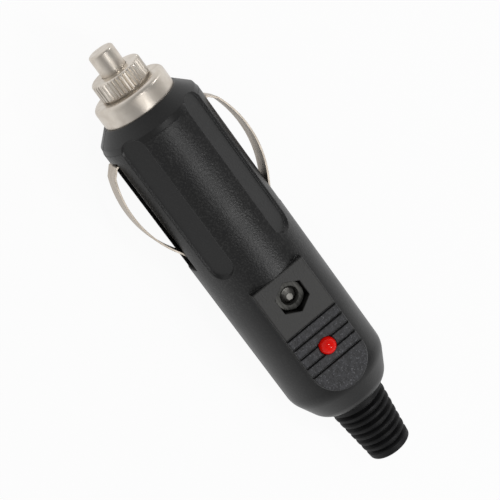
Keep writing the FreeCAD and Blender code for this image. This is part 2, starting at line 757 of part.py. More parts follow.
def make_fuse_tube():
    """Make the fuse's glass tube."""
    inside = "fuse_glass_radius - fuse_glass_wall"
    front = "pin_back - fuse_end_wall"
    back = "fuse_back + fuse_end_wall"
    return place(turned_body("fuse_tube", [
        (back, inside), (front, inside), (front, "fuse_glass_radius"),
        (back, "fuse_glass_radius")]))


def make_fuse_ends():
    """Make the two metal cups on the ends of the fuse."""
    cups = []
    inside = "fuse_radius - fuse_end_wall"
    for name, x, turn in (("front_cup", "nose_x + pin_back", None),
                          ("back_cup", "nose_x + fuse_back", Vector(0, 0, 1))):
        cup = turned_body(name, [
            ("0", "0"), ("0", "fuse_radius"), ("-fuse_end_length", "fuse_radius"),
            ("-fuse_end_length", inside), ("-fuse_end_wall", inside), ("-fuse_end_wall", "0")])
        cups.append(place(cup, x, turn=turn))
    pair = doc.addObject("Part::Compound", "fuse_ends")
    pair.Links = cups
    return pair


def make_fuse_wire():
    """Make the straight wire inside the fuse."""
    wire = doc.addObject("Part::Cylinder", "fuse_wire")
    wire.setExpression("Radius", formula("fuse_wire_radius"))
    wire.setExpression("Height", formula("fuse_length - 2 * fuse_end_wall"))
    wire.Placement = FreeCAD.Placement(Vector(0, 0, 0), FreeCAD.Rotation(Vector(0, 1, 0), 90))
    wire.setExpression("Placement.Base.x", formula("nose_x + fuse_back + fuse_end_wall"))
    wire.setExpression("Placement.Base.z", formula("pad_height"))
    return wire


def make_contact_spring():
    """Wind the coil spring between the fuse and its terminal."""
    body = new_body("contact_spring")
    section = new_sketch(body, "coil_wire", "XZ_Plane")
    inset = "(coil_wire_radius + coil_clear)"
    centre = f"coil_back + {inset}"
    flat, corner = "coil_wire_radius", "coil_wire_radius * tan(22.5)"
    outline(section, [(f"{centre} + {x}", f"coil_radius + {y}") for x, y in (
        (flat, f"-{corner}"), (flat, corner), (corner, flat), (f"-{corner}", flat),
        (f"-{flat}", corner), (f"-{flat}", f"-{corner}"), (f"-{corner}", f"-{flat}"),
        (corner, f"-{flat}"))])
    coil = body.newObject("PartDesign::AdditiveHelix", "coil")
    coil.Profile = section
    coil.ReferenceAxis = (section, ["H_Axis"])
    coil.Mode = "pitch-height-angle"
    height = f"coil_length - 2 * {inset}"
    coil.setExpression("Height", formula(height))
    coil.setExpression("Pitch", formula(f"({height}) / coil_turns"))
    return place(body)


def make_spring_terminal():
    """Make the contact plate behind the coil spring, with its stud and soldering tab."""
    stud = "coil_back + terminal_stud_height"
    body = turned_body("spring_terminal", [
        ("terminal_back", "0"), (stud, "0"), (stud, "terminal_stud_radius"),
        ("coil_back", "terminal_stud_radius"), ("coil_back", "terminal_radius"),
        ("terminal_back", "terminal_radius")])
    tab = new_sketch(body, "terminal_tab", "YZ_Plane", "terminal_back")
    half = "terminal_tab / 2"
    box_outline(tab, "0", f"lead_offset + {half}", f"-{half}", half)
    extrude(body, tab, "terminal_thick")
    return place(body)


def make_lead(label, start, offset):
    """Run an insulated lead from a place along the plug, up on to the front of the board."""
    body = new_body(label)
    spine = new_sketch(body, f"{label}_path", "XZ_Plane")
    step = "lead_bend_radius * sin(lead_turn)"
    outline(spine, [
        (start, "0"), ("-lead_bend_place", "0"),
        (f"-lead_bend_place - {step}", "lead_rise / 2"),
        (f"-lead_bend_place - 2 * {step}", "lead_rise"),
        ("-board_front - lead_on_board", "lead_rise"),
    ], {1: ("radius", "lead_bend_radius", -1), 2: ("radius", "lead_bend_radius", 1)}, closed=False)
    section = new_sketch(body, f"{label}_section", "YZ_Plane", start)
    circle(section, "0", "0", "lead_radius")
    pipe = body.newObject("PartDesign::AdditivePipe", f"{label}_run")
    pipe.Profile = section
    pipe.Spine = spine
    return place(body, y=offset)


def make_circuit_board():
    """Make the board that the lamp, the resistor and the leads stand on."""
    body = new_body("circuit_board")
    plan = new_sketch(body, "board_plan", "XY_Plane", "-board_top")
    front, back = "-board_front", "-board_front - board_length"
    side = "board_half_width"
    outline(plan, [
        (front, f"-{side} + board_corner"), (front, f"{side} - board_corner"),
        (f"{front} - board_corner", side), (f"{back} + board_corner", side),
        (back, f"{side} - board_corner"), (back, f"-{side} + board_corner"),
        (f"{back} + board_corner", f"-{side}"), (f"{front} - board_corner", f"-{side}"),
    ])
    extrude(body, plan, "board_thick")
    return place(body)


def make_indicator_lamp():
    """Make the lamp: domed lens, flange under the pad, and two legs down to the board."""
    dome = "pad_height + lamp_out - lamp_radius"
    flange = "pad_root - lamp_flange_thick"
    body = turned_body("indicator_lamp", [
        ("0", flange), ("lamp_flange_radius", flange), ("lamp_flange_radius", "pad_root"),
        ("lamp_radius", "pad_root"), ("lamp_radius", dome), ("0", f"{dome} + lamp_radius"),
    ], {4: ("radius", "lamp_radius", 1)}, "V_Axis")
    legs = new_sketch(body, "lamp_legs", "XY_Plane", "board_top")
    for offset in ("lamp_lead_offset", "-lamp_lead_offset"):
        circle(legs, offset, "0", "lamp_lead_radius")
    extrude(body, legs, f"{flange} - board_top + lamp_flange_thick / 2")
    return place(body, "nose_x - lamp_place")


def make_resistor():
    """Make the lamp's resistor with its two bent legs."""
    half = "resistor_length / 2"
    body = turned_body("resistor", [
        (f"-{half}", "0"), (half, "0"), (half, "resistor_radius - resistor_edge"),
        (f"{half} - resistor_edge", "resistor_radius"),
        (f"-{half} + resistor_edge", "resistor_radius"),
        (f"-{half}", "resistor_radius - resistor_edge"),
    ])
    wire = new_sketch(body, "resistor_wire", "YZ_Plane")
    circle(wire, "0", "0", "resistor_lead_radius")
    extrude(body, wire, "resistor_span", middle=True)
    legs = new_sketch(body, "resistor_legs", "XY_Plane", "board_top - resistor_height")
    leg = "resistor_span / 2 - resistor_lead_radius"
    for offset in (leg, f"-({leg})"):
        circle(legs, offset, "0", "resistor_lead_radius")
    extrude(body, legs, "resistor_radius")
    return place(body, "nose_x - lamp_place", "resistor_offset", "pad_height + resistor_height")


def make_strain_relief():
    """Make the tapered boot with its rings, neck and inner flange."""
    taper = "boot_taper / boot_length"
    end = "-body_length - boot_length"
    flange = "-tail_inner + boot_flange_thick"
    vertices = [
        (end, "boot_bore"), (flange, "boot_bore"), (flange, "boot_flange_radius"),
        ("-tail_inner", "boot_flange_radius"), ("-tail_inner", "boot_neck_radius"),
        ("-body_length", "boot_neck_radius"), ("-body_length", "boot_base_radius"),
    ]
    for ring in range(BOOT_RINGS):
        middle = f"boot_ring_first + {ring} * boot_ring_pitch"
        for shift, depth in (("-boot_ring_gap / 2", "0"),
                             ("-boot_ring_gap / 2 + boot_ring_slope", "boot_ring_depth"),
                             ("+boot_ring_gap / 2 - boot_ring_slope", "boot_ring_depth"),
                             ("+boot_ring_gap / 2", "0")):
            along = f"({middle} {shift})"
            vertices.append((f"-body_length - {along}",
                             f"boot_base_radius - {taper} * {along} - {depth}"))
    edge = f"boot_end_radius + {taper} * boot_end_edge"
    vertices += [(f"{end} + boot_end_edge", edge), (end, f"{edge} - boot_end_edge")]
    return place(turned_body("strain_relief", vertices,
                             {len(vertices) - 2: ("radius", "boot_end_edge", 1)}))


def write_parts(nodes):
    """Check every object of the document, then write each sub-part to its own file."""
    doc.recompute()
    for item in doc.Objects:
        if {"Invalid", "Error"} & set(item.State):
            raise RuntimeError(f"{item.Label} failed: {item.State}")
    for node in nodes:
        if node.Shape.isNull() or not node.Shape.isValid():
            raise RuntimeError(f"{node.Label} has no valid shape")
    os.makedirs("parts", exist_ok=True)
    for node in nodes:
        node.Shape.exportStep(f"parts/{node.Label}.step")
        print(node.Label, len(node.Shape.Solids), round(node.Shape.Volume, 3))


fill_sheet()
half_turn = Vector(1, 0, 0)
write_parts([
    make_contact_pin(),
    make_fuse_cap(),
    make_nose_collar(),
    make_front_shell(),
    make_rear_shell(),
    make_shell_screw(),
    make_shell_nut(),
    make_side_spring("left_side_spring", None),
    make_side_spring("right_side_spring", half_turn),
    make_fuse_tube(),
    make_fuse_ends(),
    make_fuse_wire(),
    make_contact_spring(),
    make_spring_terminal(),
    make_lead("positive_lead", "terminal_back", "lead_offset"),
    make_lead("left_earth_lead", "earth_lead_lap - leaf_anchor_end", "earth_offset"),
    make_lead("right_earth_lead", "earth_lead_lap - leaf_anchor_end", "-earth_offset"),
    make_circuit_board(),
    make_indicator_lamp(),
    make_resistor(),
    make_strain_relief(),
])
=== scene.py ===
"""Looks of the cigarette lighter plug: its finishes, its fine pieces and the studio around it."""
import logging
import math
from collections.abc import Callable
from dataclasses import dataclass
from enum import Enum
from typing import Any

import bpy
from mathutils import Matrix, Vector


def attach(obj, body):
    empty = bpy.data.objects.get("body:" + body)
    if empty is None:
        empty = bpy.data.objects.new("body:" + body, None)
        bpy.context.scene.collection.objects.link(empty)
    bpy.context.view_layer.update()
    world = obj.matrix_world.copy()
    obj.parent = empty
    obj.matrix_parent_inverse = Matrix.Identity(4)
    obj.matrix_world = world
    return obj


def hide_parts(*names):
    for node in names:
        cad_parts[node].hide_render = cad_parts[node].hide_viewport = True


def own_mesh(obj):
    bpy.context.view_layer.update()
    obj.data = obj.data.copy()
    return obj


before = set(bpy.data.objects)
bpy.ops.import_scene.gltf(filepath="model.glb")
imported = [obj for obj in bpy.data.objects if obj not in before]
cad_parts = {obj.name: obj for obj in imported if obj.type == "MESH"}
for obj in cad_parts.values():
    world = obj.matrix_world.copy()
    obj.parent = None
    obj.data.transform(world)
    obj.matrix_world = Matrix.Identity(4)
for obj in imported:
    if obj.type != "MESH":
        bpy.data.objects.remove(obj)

Colour = tuple[float, float, float]
Triple = tuple[float, float, float]
Span = tuple[float, float]
Profile = list[tuple[float, float]]

LOG = logging.getLogger("lighter_plug")
MM = 0.001
NOSE_X = 35.35 * MM
AXIS_Z = 10.45 * MM
MERGE_REACH = 0.001 * MM
SMOOTH_ANGLE = math.radians(32.0)
EDGE_SAMPLES = 6
WHOLE: Span = (0.0, 1.0)
MIDDLE: Span = (0.3, 0.7)


class Body(Enum):
    """Bodies of the frame that the new pieces ride on."""

    HANDLE = "handle"


class Turn(Enum):
    """Line that a lathed piece is turned about."""

    PLUG_AXIS = (1.0, 0.0, 0.0)
    UPRIGHT = (0.0, 0.0, 1.0)


class Carving(Enum):
    """Ways to shape one piece with another."""

    CUT = "DIFFERENCE"
    TRIM = "INTERSECT"


class Detail(Enum):
    """How many finer layers a noise has."""

    SOFT = 1.0
    PLAIN = 2.0
    CRISP = 3.0
    RICH = 4.0


class NodeSheet:
    """A material's node tree, with short ways to add and link nodes."""

    def __init__(self, name: str) -> None:
        """Start a material with one shader and its output.

        Args:
            name: Name of the material.
        """
        self.material = bpy.data.materials.new(name)
        self.material.use_nodes = True
        self.tree = self.material.node_tree
        self.shader = self.tree.nodes["Principled BSDF"]
        self.output = self.tree.nodes["Material Output"]

    def add(self, kind: str, inputs: dict[str, Any] | None = None, **settings: Any) -> Any:
        """Add a node.

        Args:
            kind: Blender's name of the node's type.
            inputs: Values, or sockets to link from, by the name of the input.
            settings: Properties of the node itself.

        Returns:
            The new node.
        """
        node = self.tree.nodes.new(kind)
        for key, value in settings.items():
            setattr(node, key, value)
        for key, value in (inputs or {}).items():
            self.feed(node.inputs[key], value)
        return node

    def feed(self, socket: Any, value: Any) -> None:
        """Link a socket into an input, or set the input to a plain value.

        Args:
            socket: The input.
            value: The socket to link from, or the value.
        """
        if isinstance(value, bpy.types.NodeSocket):
            self.tree.links.new(value, socket)
        else:
            socket.default_value = value

    def shade(self, **inputs: Any) -> None:
        """Set or link the main shader's inputs, with underscores for spaces."""
        for key, value in inputs.items():
            self.feed(self.shader.inputs[key.replace("_", " ")], value)

    def place(self) -> Any:
        """Give the socket of the piece's own coordinates, in metres."""
        return self.add("ShaderNodeTexCoord").outputs["Object"]

    def noise(self, where: Any, grain: float, detail: Detail = Detail.PLAIN) -> Any:
        """Give a noise value.

        Args:
            where: Socket of the coordinates.
            grain: About how wide its features are, in metres.
            detail: How many finer layers it has.

        Returns:
            The socket of the value, from 0 to 1.
        """
        node = self.add("ShaderNodeTexNoise",
                        {"Vector": where, "Scale": 1.0 / grain, "Detail": detail.value})
        return node.outputs["Fac"]

    def remap(self, value: Any, old: Span, new: Span = WHOLE) -> Any:
        """Map a value smoothly from one range to another.

        Args:
            value: Socket of the value.
            old: Range that it is taken from.
            new: Range that it is brought to.

        Returns:
            The socket of the mapped value.
        """
        node = self.add("ShaderNodeMapRange", {
            "Value": value, "From Min": old[0], "From Max": old[1],
            "To Min": new[0], "To Max": new[1]}, interpolation_type="SMOOTHSTEP")
        return node.outputs["Result"]

    def maths(self, operation: str, first: Any, second: Any = 0.0) -> Any:
        """Work out one sum on two values.

        Args:
            operation: Blender's name of the sum.
            first: First value or socket.
            second: Second value or socket, where the sum has two.

        Returns:
            The socket of the result.
        """
        node = self.add("ShaderNodeMath", operation=operation)
        self.feed(node.inputs[0], first)
        self.feed(node.inputs[1], second)
        return node.outputs[0]

    def vector(self, operation: str, first: Any, second: Triple) -> Any:
        """Work out one sum on two vectors.

        Args:
            operation: Blender's name of the sum.
            first: Socket of the first vector.
            second: The second vector.

        Returns:
            The node, whose outputs are Vector and Value.
        """
        node = self.add("ShaderNodeVectorMath", operation=operation)
        self.feed(node.inputs[0], first)
        self.feed(node.inputs[1], second)
        return node

    def stretch(self, where: Any, scale: Triple) -> Any:
        """Give coordinates scaled along each axis."""
        return self.vector("MULTIPLY", where, scale).outputs["Vector"]

    def ramp(self, value: Any, low: Any, high: Any) -> Any:
        """Mix two colours.

        Args:
            value: Socket of the share of the second colour, from 0 to 1.
            low: First colour, or its socket.
            high: Second colour, or its socket.

        Returns:
            The socket of the colour.
        """
        node = self.add("ShaderNodeMix", data_type="RGBA")
        self.feed(node.inputs["Factor"], value)
        for socket, colour in ((node.inputs[6], low), (node.inputs[7], high)):
            self.feed(socket, (*colour, 1.0) if isinstance(colour, tuple) else colour)
        return node.outputs[2]

    def blend(self, value: Any, low: Any, high: Any) -> Any:
        """Mix two numbers.

        Args:
            value: Socket of the share of the second number, from 0 to 1.
            low: First number, or its socket.
            high: Second number, or its socket.

        Returns:
            The socket of the number.
        """
        node = self.add("ShaderNodeMix", data_type="FLOAT")
        for socket, part in zip((node.inputs[0], node.inputs[2], node.inputs[3]),
                                (value, low, high)):
            self.feed(socket, part)
        return node.outputs[0]

    def soft_edges(self, radius: float) -> Any:
        """Give a normal that rounds hard edges over a radius in metres."""
        node = self.add("ShaderNodeBevel", {"Radius": radius}, samples=EDGE_SAMPLES)
        return node.outputs["Normal"]

    def bump(self, height: Any, depth: float, under: Any = None) -> Any:
        """Raise a surface by a height.

        Args:
            height: Socket of the height, from 0 to 1.
            depth: Depth of a height of 1, in metres.
            under: Socket of the normal under it.

        Returns:
            The socket of the raised normal.
        """
        node = self.add("ShaderNodeBump", {"Height": height, "Strength": 1.0, "Distance": depth})
        if under is not None:
            self.feed(node.inputs["Normal"], under)
        return node.outputs["Normal"]


@dataclass(frozen=True)
class MouldedPlastic:
    """Black plastic: fine spark grain on the lands, a pad top lifted lighter by painted sheen,
    coarse grain with painted glints on the grip, plain recesses.
    """

    name: str = "moulded_plastic"
    dark: Colour = (0.0048, 0.0049, 0.0051)
    light: Colour = (0.0230, 0.0229, 0.0222)
    # The pad top's mottle is grain; its lighter, warmer tone than the lands is painted sheen of
    # the overhead lamp.
    pad_dark_with_painted_sheen: Colour = (0.0150, 0.0146, 0.0136)
    pad_light_with_painted_sheen: Colour = (0.0230, 0.0225, 0.0208)
    grip_dark: Colour = (0.0090, 0.0092, 0.0108)
    grip_light: Colour = (0.0270, 0.0274, 0.0320)
    # Bright grey specks painted on the grip as glints of light.
    grip_painted_glint: Colour = (0.1250, 0.1270, 0.1380)
    fine_grain: float = 0.36 * MM
    fine_depth: float = 0.055 * MM
    fine_sparks: Span = (0.46, 0.70)
    plain_sparks: float = 0.25
    plain_depth: float = 0.35
    grain_end: float = NOSE_X - 36.5 * MM
    grain_fade: float = 6.0 * MM
    faded_grain: float = 0.25
    grip_grain: float = 0.95 * MM
    grip_depth: float = 0.110 * MM
    grip_crumbs: Span = (0.35, 0.68)
    spark_grain: float = 0.30 * MM
    painted_glint_range: Span = (0.56, 0.74)
    spark_height: float = 0.5
    broad_patch: float = 7.0 * MM
    barrel_radius: float = 10.3 * MM
    band_end: float = NOSE_X - 3.5 * MM
    grip_start: float = NOSE_X - 48.4 * MM
    pad_height: float = 10.38 * MM
    border: float = 0.04 * MM
    edge_radius: float = 0.28 * MM
    satin: Span = (0.34, 0.40)
    pad_roughness: float = 0.46
    grip_roughness: float = 0.52
    shine: float = 0.48

    def build(self) -> bpy.types.Material:
        """Make the material.

        Returns:
            The material, with its zones told apart by their place on the plug.
        """
        sheet = NodeSheet(self.name)
        where = sheet.place()
        land, on_pad, grip = self.find_zones(sheet, where)
        fine = sheet.noise(where, self.fine_grain, Detail.CRISP)
        coarse = sheet.noise(where, self.grip_grain)
        speck = sheet.noise(where, self.spark_grain, Detail.CRISP)
        broad = sheet.noise(where, self.broad_patch)
        spark = sheet.maths("MULTIPLY", sheet.remap(fine, self.fine_sparks),
                            sheet.remap(land, WHOLE, (self.plain_sparks, 1.0)))
        plain = sheet.ramp(spark, self.dark, self.light)
        # Pad top: grain mottle, lifted lighter as painted sheen of the overhead lamp.
        pad_grain_and_painted_sheen = sheet.ramp(fine, self.pad_dark_with_painted_sheen, self.pad_light_with_painted_sheen)
        crumb = sheet.ramp(sheet.remap(coarse, self.grip_crumbs), self.grip_dark, self.grip_light)
        # Bright specks painted over the grip's grain as glints of light.
        crumb = sheet.ramp(sheet.remap(speck, self.painted_glint_range), crumb, self.grip_painted_glint)
        softened = sheet.soft_edges(self.edge_radius)
        fine_height = sheet.maths("MULTIPLY", fine,
                                  sheet.remap(land, WHOLE, (self.plain_depth, 1.0)))
        grained = sheet.bump(fine_height, self.fine_depth, softened)
        rough = sheet.maths("ADD", coarse, sheet.maths("MULTIPLY", speck, self.spark_height))
        crumbled = sheet.bump(sheet.maths("MULTIPLY", rough, grip), self.grip_depth, grained)
        smooth = sheet.blend(on_pad, sheet.remap(broad, MIDDLE, self.satin), self.pad_roughness)
        sheet.shade(Base_Color=sheet.ramp(grip, sheet.ramp(on_pad, plain, pad_grain_and_painted_sheen), crumb),
                    Roughness=sheet.blend(grip, smooth, self.grip_roughness),
                    Specular_IOR_Level=self.shine, Normal=crumbled)
        return sheet.material

    def find_zones(self, sheet: NodeSheet, where: Any) -> tuple[Any, Any, Any]:
        """Tell the grained lands, the pad's top and the grip apart.

        Args:
            sheet: The material's nodes.
            where: Socket of the coordinates.

        Returns:
            The sockets of the shares, from 0 to 1, of land, pad and grip.
        """
        centred = sheet.vector("SUBTRACT", where, (0.0, 0.0, AXIS_Z)).outputs["Vector"]
        across = sheet.stretch(centred, (0.0, 1.0, 1.0))
        radius = sheet.vector("LENGTH", across, (0.0, 0.0, 0.0)).outputs["Value"]
        parts = sheet.add("ShaderNodeSeparateXYZ", {"Vector": centred})
        along, height = parts.outputs["X"], sheet.maths("ABSOLUTE", parts.outputs["Z"])
        raised = sheet.remap(radius, (self.barrel_radius - 3.0 * self.border,
                                      self.barrel_radius - self.border))
        behind_band = sheet.remap(along, (self.band_end, self.band_end - self.border))
        ahead = sheet.remap(along, (self.grain_end - self.grain_fade, self.grain_end),
                            (self.faded_grain, 1.0))
        land = sheet.maths("MULTIPLY", sheet.maths("MULTIPLY", raised, behind_band), ahead)
        on_pad = sheet.remap(height, (self.pad_height - self.border, self.pad_height))
        behind_start = sheet.remap(along, (self.grip_start, self.grip_start - self.border))
        return land, on_pad, sheet.maths("MULTIPLY", on_pad, behind_start)


@dataclass(frozen=True)
class TurnedNickel:
    """Warm bright plating with faint turning rings about the plug's axis and dull patches."""

    name: str = "turned_nickel"
    bright: Colour = (0.750, 0.692, 0.617)
    dull: Colour = (0.662, 0.602, 0.529)
    ring_pitch: float = 0.10 * MM
    ring_depth: float = 0.002 * MM
    ring_scale: Triple = (1.0, 0.04, 0.04)
    patch: float = 2.6 * MM
    patch_range: Span = (0.35, 0.65)
    bright_roughness: float = 0.33
    dull_roughness: float = 0.41
    edge_radius: float = 0.10 * MM

    def build(self) -> bpy.types.Material:
        """Make the material.

        Returns:
            The material.
        """
        sheet = NodeSheet(self.name)
        where = sheet.place()
        rings = sheet.noise(sheet.stretch(where, self.ring_scale), self.ring_pitch)
        patch = sheet.remap(sheet.noise(where, self.patch, Detail.RICH), self.patch_range)
        sheet.shade(Metallic=1.0, Base_Color=sheet.ramp(patch, self.dull, self.bright),
                    Roughness=sheet.remap(patch, WHOLE,
                                          (self.dull_roughness, self.bright_roughness)),
                    Normal=sheet.bump(rings, self.ring_depth, sheet.soft_edges(self.edge_radius)))
        return sheet.material


@dataclass(frozen=True)
class RolledSteel:
    """Rolled or drawn metal with fine lines and long streaks along the plug."""

    name: str
    bright: Colour
    dull: Colour
    roughness: Span
    line_pitch: float = 0.12 * MM
    line_depth: float = 0.003 * MM
    line_scale: Triple = (0.03, 0.3, 1.0)
    streak: float = 1.1 * MM
    streak_scale: Triple = (0.12, 0.6, 1.0)
    edge_radius: float = 0.08 * MM

    def build(self) -> bpy.types.Material:
        """Make the material.

        Returns:
            The material.
        """
        sheet = NodeSheet(self.name)
        where = sheet.place()
        lines = sheet.noise(sheet.stretch(where, self.line_scale), self.line_pitch)
        streaks = sheet.noise(sheet.stretch(where, self.streak_scale), self.streak, Detail.RICH)
        sheet.shade(Metallic=1.0,
                    Base_Color=sheet.ramp(sheet.remap(streaks, MIDDLE), self.dull, self.bright),
                    Roughness=sheet.remap(lines, MIDDLE, self.roughness),
                    Normal=sheet.bump(lines, self.line_depth, sheet.soft_edges(self.edge_radius)))
        return sheet.material


@dataclass(frozen=True)
class MouldedRubber:
    """Black rubber with a soft sheen and a slight bloom."""

    name: str = "moulded_rubber"
    dark: Colour = (0.0018, 0.0018, 0.0021)
    bloom: Colour = (0.0060, 0.0061, 0.0070)
    bloom_patch: float = 2.2 * MM
    grain: float = 0.25 * MM
    grain_depth: float = 0.012 * MM
    roughness: Span = (0.50, 0.62)
    shine: float = 0.25

    def build(self) -> bpy.types.Material:
        """Make the material.

        Returns:
            The material.
        """
        sheet = NodeSheet(self.name)
        where = sheet.place()
        fine = sheet.noise(where, self.grain, Detail.CRISP)
        patch = sheet.noise(where, self.bloom_patch, Detail.CRISP)
        sheet.shade(Base_Color=sheet.ramp(patch, self.dark, self.bloom),
                    Roughness=sheet.remap(patch, MIDDLE, self.roughness),
                    Specular_IOR_Level=self.shine, Normal=sheet.bump(fine, self.grain_depth))
        return sheet.material


@dataclass(frozen=True)
class TintedLens:
    """Red tinted lamp plastic with a wet gloss and slightly cloudy depth."""

    name: str = "tinted_lens"
    deep: Colour = (0.84, 0.004, 0.001)
    bright: Colour = (0.97, 0.008, 0.002)
    cloud: float = 0.9 * MM
    dimple: float = 0.8 * MM
    dimple_depth: float = 0.01 * MM
    haze_share: float = 0.15
    haze_reach: float = 0.5 * MM
    roughness: float = 0.05
    shine: float = 0.26

    def build(self) -> bpy.types.Material:
        """Make the material.

        Returns:
            The material.
        """
        sheet = NodeSheet(self.name)
        where = sheet.place()
        cloud = sheet.noise(where, self.cloud)
        dimple = sheet.noise(where, self.dimple, Detail.SOFT)
        sheet.shade(Base_Color=sheet.ramp(cloud, self.deep, self.bright), Roughness=self.roughness,
                    Subsurface_Weight=self.haze_share, Subsurface_Scale=self.haze_reach,
                    Specular_IOR_Level=self.shine, Normal=sheet.bump(dimple, self.dimple_depth))
        return sheet.material


@dataclass(frozen=True)
class Lacquer:
    """A coloured plastic, lacquer or laminate with slight mottling, for inner pieces."""

    name: str
    dark: Colour
    light: Colour
    roughness: float = 0.4
    grain: float = 0.5 * MM
    depth: float = 0.004 * MM

    def build(self) -> bpy.types.Material:
        """Make the material.

        Returns:
            The material.
        """
        sheet = NodeSheet(self.name)
        mottle = sheet.noise(sheet.place(), self.grain, Detail.CRISP)
        sheet.shade(Base_Color=sheet.ramp(mottle, self.dark, self.light), Roughness=self.roughness,
                    Normal=sheet.bump(mottle, self.depth))
        return sheet.material


@dataclass(frozen=True)
class ClearGlass:
    """Clear glass of the fuse's tube, with a faint ripple."""

    name: str = "fuse_glass"
    tint: Colour = (0.93, 0.97, 0.96)
    ripple: float = 3.0 * MM
    ripple_depth: float = 0.01 * MM
    refraction: float = 1.5
    roughness: float = 0.02

    def build(self) -> bpy.types.Material:
        """Make the material.

        Returns:
            The material.
        """
        sheet = NodeSheet(self.name)
        ripple = sheet.noise(sheet.place(), self.ripple, Detail.SOFT)
        sheet.shade(Base_Color=(*self.tint, 1.0), Transmission_Weight=1.0, IOR=self.refraction,
                    Roughness=self.roughness, Normal=sheet.bump(ripple, self.ripple_depth))
        return sheet.material


class Finishes:
    """The plug's materials, each built once."""

    def __init__(self) -> None:
        """Build every material."""
        self.plastic = MouldedPlastic().build()
        self.nickel = TurnedNickel().build()
        self.strip = RolledSteel("strip_steel", bright=(0.60, 0.538, 0.466),
                                 dull=(0.51, 0.452, 0.386), roughness=(0.42, 0.54)).build()
        self.zinc = RolledSteel("zinc_steel", bright=(0.28, 0.275, 0.257),
                                dull=(0.205, 0.20, 0.187), roughness=(0.46, 0.58)).build()
        self.black_steel = RolledSteel("black_steel", bright=(0.080, 0.079, 0.074),
                                       dull=(0.045, 0.045, 0.042), roughness=(0.42, 0.55)).build()
        self.brass = RolledSteel("terminal_brass", bright=(0.80, 0.60, 0.28),
                                 dull=(0.62, 0.45, 0.20), roughness=(0.26, 0.42)).build()
        self.rubber = MouldedRubber().build()
        self.lens = TintedLens().build()
        self.glass = ClearGlass().build()
        self.red_wire = Lacquer("red_insulation", dark=(0.42, 0.02, 0.02),
                                light=(0.55, 0.03, 0.03)).build()
        self.black_wire = Lacquer("black_insulation", dark=(0.012, 0.012, 0.012),
                                  light=(0.02, 0.02, 0.02)).build()
        self.laminate = Lacquer("board_laminate", dark=(0.02, 0.16, 0.06),
                                light=(0.03, 0.22, 0.09)).build()
        self.ceramic = Lacquer("resistor_ceramic", dark=(0.55, 0.40, 0.24),
                               light=(0.66, 0.50, 0.31)).build()

    def dress_nodes(self) -> None:
        """Put each node's finish in its material slots."""
        table = {
            "front_shell": self.plastic, "rear_shell": self.plastic,
            "contact_pin": self.nickel, "fuse_cap": self.nickel, "nose_collar": self.nickel,
            "fuse_ends": self.nickel, "left_side_spring": self.strip,
            "right_side_spring": self.strip, "shell_screw": self.zinc,
            "shell_nut": self.black_steel, "fuse_wire": self.zinc, "contact_spring": self.zinc,
            "spring_terminal": self.brass, "fuse_tube": self.glass,
            "positive_lead": self.red_wire, "left_earth_lead": self.black_wire,
            "right_earth_lead": self.black_wire, "circuit_board": self.laminate,
            "indicator_lamp": self.lens, "resistor": self.ceramic, "strain_relief": self.rubber,
        }
        for name, material in table.items():
            dress(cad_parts[name], material)


def dress(piece: bpy.types.Object, material: bpy.types.Material) -> None:
    """Give a piece one finish all over.

    Args:
        piece: The piece.
        material: Its finish.
    """
    piece.data.materials.clear()
    piece.data.materials.append(material)
    LOG.info("dressed %s in %s", piece.name, material.name)


def hand_over(piece: bpy.types.Object, material: bpy.types.Material,
              node: str) -> None:
    """Dress a new piece, put it on the handle and let it stand for a node.

    Args:
        piece: The finished piece.
        material: Its finish.
        node: Name of the node that it stands for.
    """
    dress(piece, material)
    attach(piece, Body.HANDLE.value)
    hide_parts(node)
    LOG.info("built %s", piece.name)


